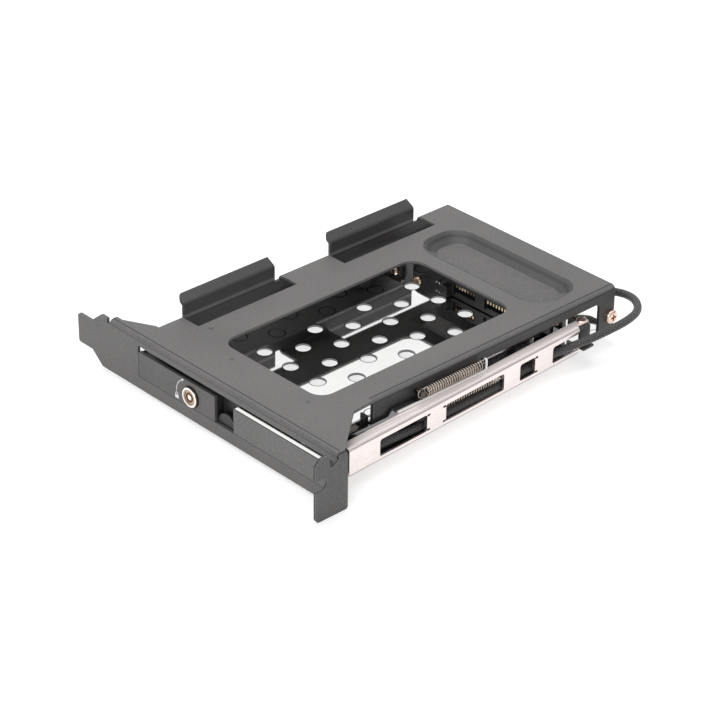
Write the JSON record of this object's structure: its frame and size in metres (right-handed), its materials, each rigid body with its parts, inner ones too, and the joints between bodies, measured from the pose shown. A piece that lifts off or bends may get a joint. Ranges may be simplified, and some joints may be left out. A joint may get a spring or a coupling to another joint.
{
  "type": "hot swap drive cage",
  "caption": "Slot-mounted hot swap drive cage with a vented tray, a lockable swing door, a spring ejector linkage and a rear connector board.",
  "frame": {"origin": "centre of the screw notch, on the seat face of the screw tab", "axes": "+X from the tongue to the screw tab, +Y into the computer along the drive's travel, +Z square to the deck, towards the component side"},
  "size_m": [0.12, 0.1509, 0.0254],
  "materials": {
    "black_powder_coat": "fine textured powder coat",
    "mirror_stainless": "mirror",
    "stainless": "bright rolled",
    "spring_steel": "bright wire",
    "nickel_screw": "nickel plated",
    "nickel_lock": "nickel plated",
    "gold_contact": "gold plated",
    "black_moulding": "matt",
    "ivory_moulding": "semi-gloss",
    "black_board": "solder mask",
    "braided_sleeve": "braided"
  },
  "bodies": {
    "chassis": {"top_cover": "black_powder_coat", "lock_strike": "stainless", "drive_tray": "mirror_stainless", "guide_rail": "stainless", "side_channel": "stainless", "channel_rivets": "stainless", "cable_bracket": "black_powder_coat", "cover_screws": "nickel_screw", "backplane_board": "black_board", "board_screws": "nickel_screw", "drive_connector": "black_moulding", "drive_contacts": "gold_contact", "data_socket": "black_moulding", "power_socket": "black_moulding", "socket_contacts": "gold_contact", "cable_header": "ivory_moulding", "rear_plug": "ivory_moulding", "door_switch": "black_moulding", "front_plug": "ivory_moulding", "cable": "braided_sleeve", "hinge_pin": "stainless", "pivot_bush": "black_moulding", "spring_posts": "nickel_screw", "upper_spring": "spring_steel", "lower_spring": "spring_steel"},
    "door": {"door_carrier": "black_moulding", "lock_plate": "black_powder_coat", "handle_face": "black_powder_coat", "handle_bar": "stainless", "door_rivets": "nickel_screw", "door_crank": "stainless", "crank_pin": "stainless", "lock_barrel": "nickel_lock", "lock_nut": "nickel_lock"},
    "lock": {"lock_plug": "nickel_lock", "lock_cam": "nickel_lock", "cam_screw": "nickel_screw"},
    "ejector": {"ejector_slider": "stainless", "finger_pad": "black_moulding"},
    "button": {"switch_button": "ivory_moulding"}
  },
  "joints": [
    {"name": "door_hinge", "type": "hinge", "parent": "chassis", "child": "door", "pos_m": [-0.01002, 0.01161, -0.0026], "axis": [0, 0, 1], "range_deg": [0, 90]},
    {"name": "lock_turn", "type": "hinge", "parent": "door", "child": "lock", "pos_m": [-0.06452, 0.00921, -0.003], "axis": [0, 1, 0], "range_deg": [0, 90]},
    {"name": "ejector_slide", "type": "slide", "parent": "chassis", "child": "ejector", "axis": [0, -1, 0], "range_m": [0, 0.007], "deforming": ["upper_spring", "lower_spring"]},
    {"name": "switch_press", "type": "slide", "parent": "chassis", "child": "button", "axis": [0, 1, 0], "range_m": [0, 0.0008], "stiffness_N_per_m": 200, "springref_m": -0.0004}
  ],
  "couplings": [
    {"joint": "ejector_slide", "follows": "door_hinge", "m_per_rad": 0.0044563}
  ]
}
